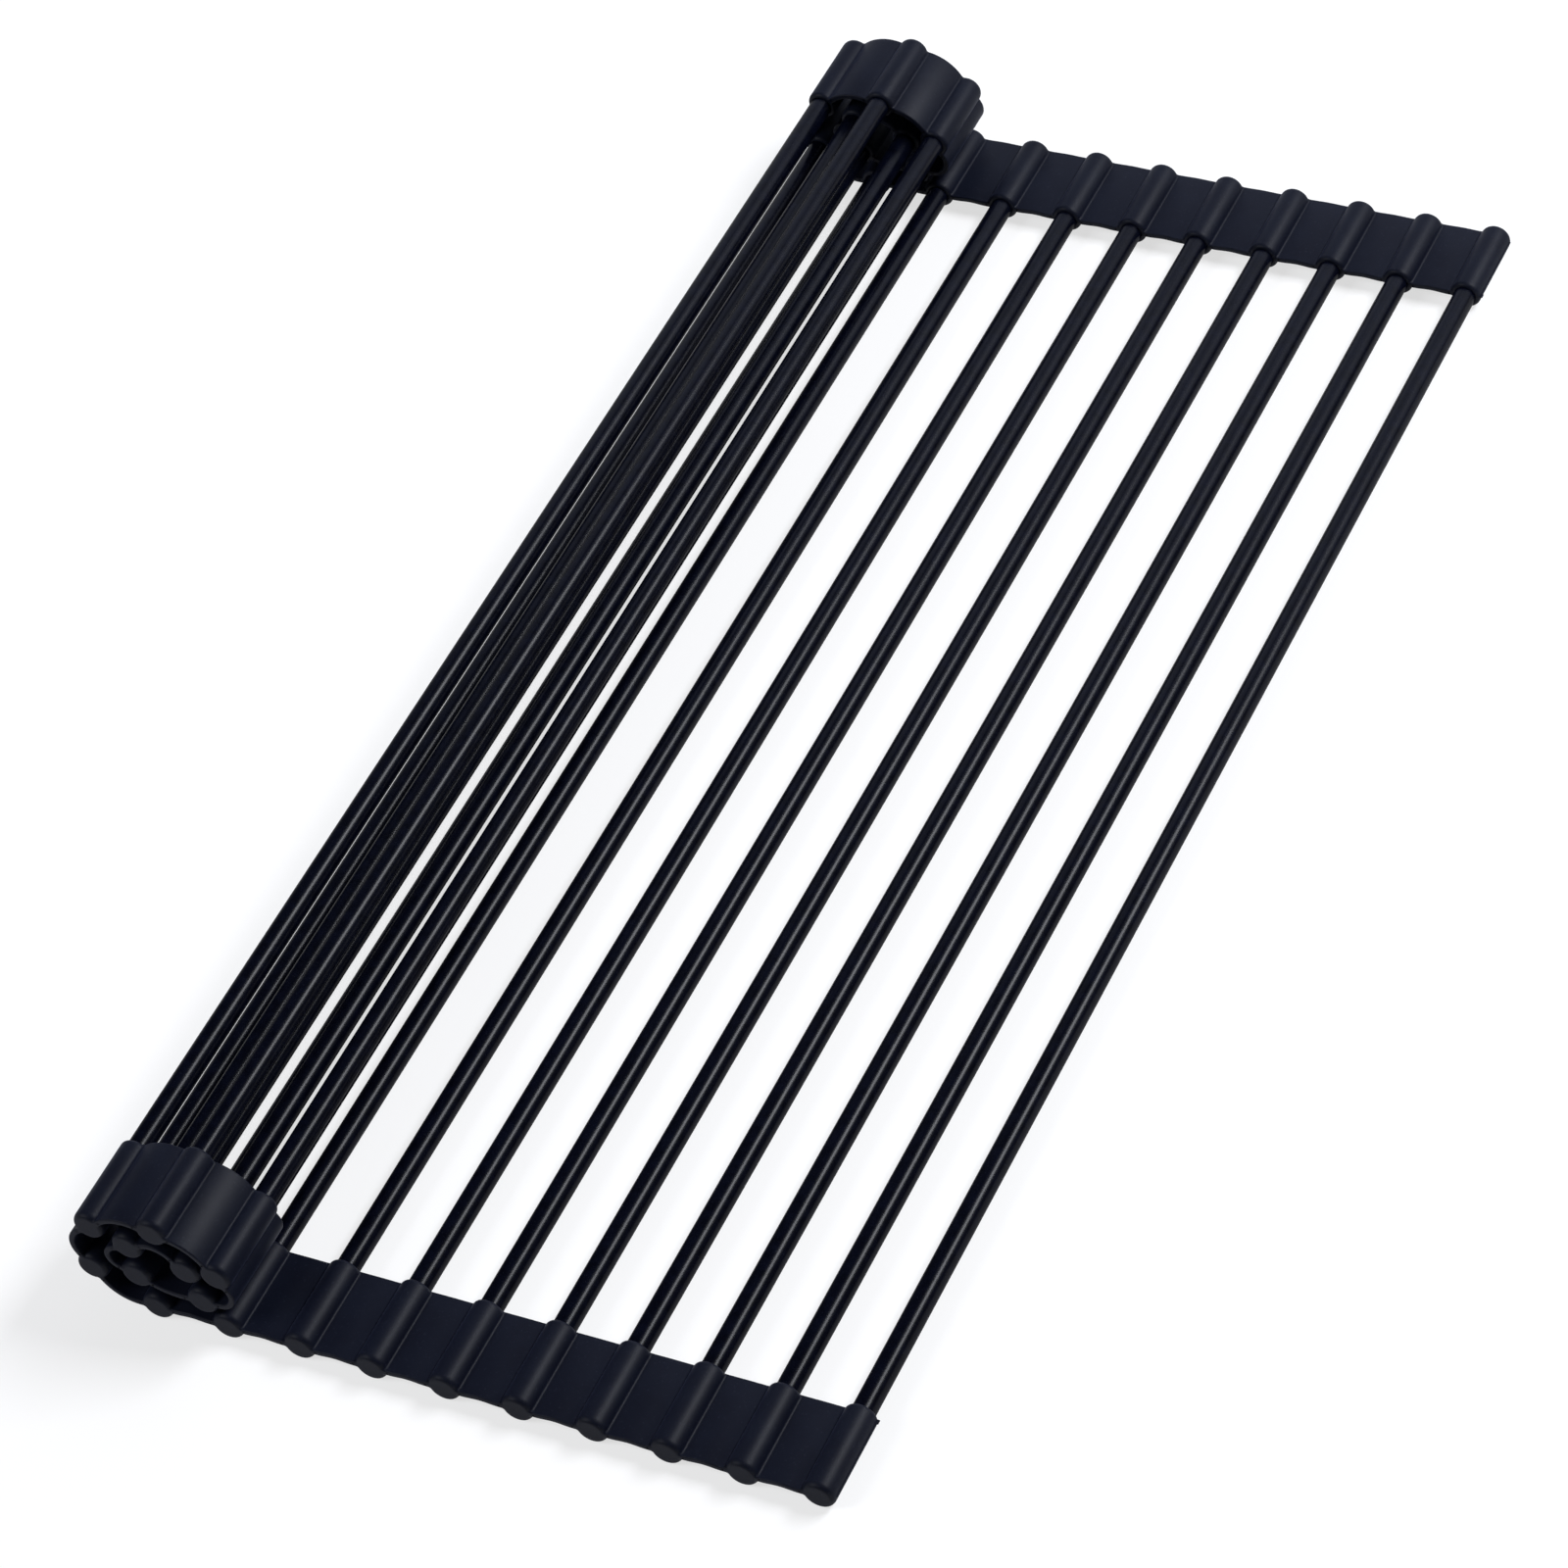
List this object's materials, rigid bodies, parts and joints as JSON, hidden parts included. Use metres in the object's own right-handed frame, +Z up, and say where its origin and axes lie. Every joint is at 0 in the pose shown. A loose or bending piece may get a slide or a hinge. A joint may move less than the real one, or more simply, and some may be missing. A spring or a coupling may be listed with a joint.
{
  "type": "roll up dish drying rack",
  "caption": "Over-sink drying rack of round steel tubes held at both ends in flexible silicone strips, shown half rolled up.",
  "frame": {"origin": "middle of the footprint, on the surface that the rack lies on", "axes": "+Y along the tubes, +Z up, +X from the rolled half to the free end of the flat half"},
  "size_m": [0.2342, 0.521, 0.0445],
  "materials": {
    "coated_tube": "satin black coating",
    "silicone_strip": "matt dark navy silicone"
  },
  "bodies": {
    "rod_01": {"tube_01": "coated_tube", "near_strip_01": "silicone_strip", "far_strip_01": "silicone_strip"},
    "rod_02": {"tube_02": "coated_tube", "near_strip_02": "silicone_strip", "far_strip_02": "silicone_strip"},
    "rod_03": {"tube_03": "coated_tube", "near_strip_03": "silicone_strip", "far_strip_03": "silicone_strip"},
    "rod_04": {"tube_04": "coated_tube", "near_strip_04": "silicone_strip", "far_strip_04": "silicone_strip"},
    "rod_05": {"tube_05": "coated_tube", "near_strip_05": "silicone_strip", "far_strip_05": "silicone_strip"},
    "rod_06": {"tube_06": "coated_tube", "near_strip_06": "silicone_strip", "far_strip_06": "silicone_strip"},
    "rod_07": {"tube_07": "coated_tube", "near_strip_07": "silicone_strip", "far_strip_07": "silicone_strip"},
    "rod_08": {"tube_08": "coated_tube", "near_strip_08": "silicone_strip", "far_strip_08": "silicone_strip"},
    "rod_09": {"tube_09": "coated_tube", "near_strip_09": "silicone_strip", "far_strip_09": "silicone_strip"},
    "rod_10": {"tube_10": "coated_tube", "near_strip_10": "silicone_strip", "far_strip_10": "silicone_strip"},
    "rod_11": {"tube_11": "coated_tube", "near_strip_11": "silicone_strip", "far_strip_11": "silicone_strip"},
    "rod_12": {"tube_12": "coated_tube", "near_strip_12": "silicone_strip", "far_strip_12": "silicone_strip"},
    "rod_13": {"tube_13": "coated_tube", "near_strip_13": "silicone_strip", "far_strip_13": "silicone_strip"},
    "rod_14": {"tube_14": "coated_tube", "near_strip_14": "silicone_strip", "far_strip_14": "silicone_strip"},
    "rod_15": {"tube_15": "coated_tube", "near_strip_15": "silicone_strip", "far_strip_15": "silicone_strip"},
    "rod_16": {"tube_16": "coated_tube", "near_strip_16": "silicone_strip", "far_strip_16": "silicone_strip"},
    "rod_17": {"tube_17": "coated_tube", "near_strip_17": "silicone_strip", "far_strip_17": "silicone_strip"},
    "rod_18": {"tube_18": "coated_tube", "near_strip_18": "silicone_strip", "far_strip_18": "silicone_strip"}
  },
  "joints": [
    {"name": "web_10_11", "type": "hinge", "parent": "rod_10", "child": "rod_11", "pos_m": [-0.10519, 0, 0.00645], "axis": [0, 1, 0], "range_deg": [-60, 0]},
    {"name": "web_11_12", "type": "hinge", "parent": "rod_11", "child": "rod_12", "pos_m": [-0.11649, 0, 0.02626], "axis": [0, 1, 0], "range_deg": [-82, 0]},
    {"name": "web_12_13", "type": "hinge", "parent": "rod_12", "child": "rod_13", "pos_m": [-0.09859, 0, 0.04038], "axis": [0, 1, 0], "range_deg": [-50, 0]},
    {"name": "web_13_14", "type": "hinge", "parent": "rod_13", "child": "rod_14", "pos_m": [-0.07612, 0, 0.03642], "axis": [0, 1, 0], "range_deg": [-48, 0]},
    {"name": "web_14_15", "type": "hinge", "parent": "rod_14", "child": "rod_15", "pos_m": [-0.06567, 0, 0.01613], "axis": [0, 1, 0], "range_deg": [-118, 0]},
    {"name": "web_15_16", "type": "hinge", "parent": "rod_15", "child": "rod_16", "pos_m": [-0.08826, 0, 0.00964], "axis": [0, 1, 0], "range_deg": [-25, 0]},
    {"name": "web_16_17", "type": "hinge", "parent": "rod_16", "child": "rod_17", "pos_m": [-0.10705, 0, 0.02371], "axis": [0, 1, 0], "range_deg": [-133, 0]},
    {"name": "web_17_18", "type": "hinge", "parent": "rod_17", "child": "rod_18", "pos_m": [-0.08696, 0, 0.03463], "axis": [0, 1, 0], "range_deg": [-75, 0]},
    {"name": "web_09_10", "type": "hinge", "parent": "rod_10", "child": "rod_09", "pos_m": [-0.08238, 0, 0.00285], "axis": [0, -1, 0], "range_deg": [-25, 0]},
    {"name": "web_08_09", "type": "hinge", "parent": "rod_09", "child": "rod_08", "pos_m": [-0.05958, 0, 0.00686], "axis": [0, -1, 0], "range_deg": [0, 40]},
    {"name": "web_07_08", "type": "hinge", "parent": "rod_08", "child": "rod_07", "pos_m": [-0.03678, 0, 0.00686], "axis": [0, -1, 0], "range_deg": [0, 40]},
    {"name": "web_06_07", "type": "hinge", "parent": "rod_07", "child": "rod_06", "pos_m": [-0.01398, 0, 0.00686], "axis": [0, -1, 0], "range_deg": [0, 35]},
    {"name": "web_05_06", "type": "hinge", "parent": "rod_06", "child": "rod_05", "pos_m": [0.00882, 0, 0.00686], "axis": [0, -1, 0], "range_deg": [0, 35]},
    {"name": "web_04_05", "type": "hinge", "parent": "rod_05", "child": "rod_04", "pos_m": [0.03162, 0, 0.00686], "axis": [0, -1, 0], "range_deg": [0, 30]},
    {"name": "web_03_04", "type": "hinge", "parent": "rod_04", "child": "rod_03", "pos_m": [0.05442, 0, 0.00686], "axis": [0, -1, 0], "range_deg": [0, 30]},
    {"name": "web_02_03", "type": "hinge", "parent": "rod_03", "child": "rod_02", "pos_m": [0.07722, 0, 0.00686], "axis": [0, -1, 0], "range_deg": [0, 35]},
    {"name": "web_01_02", "type": "hinge", "parent": "rod_02", "child": "rod_01", "pos_m": [0.10003, 0, 0.00686], "axis": [0, -1, 0], "range_deg": [0, 35]}
  ],
  "couplings": [
    {"joint": "web_11_12", "follows": "web_10_11", "ratio": 1.3667},
    {"joint": "web_12_13", "follows": "web_10_11", "ratio": 0.83333},
    {"joint": "web_13_14", "follows": "web_10_11", "ratio": 0.8},
    {"joint": "web_14_15", "follows": "web_10_11", "ratio": 1.9667},
    {"joint": "web_15_16", "follows": "web_10_11", "ratio": 0.41667},
    {"joint": "web_16_17", "follows": "web_10_11", "ratio": 2.2167},
    {"joint": "web_17_18", "follows": "web_10_11", "ratio": 1.25}
  ]
}
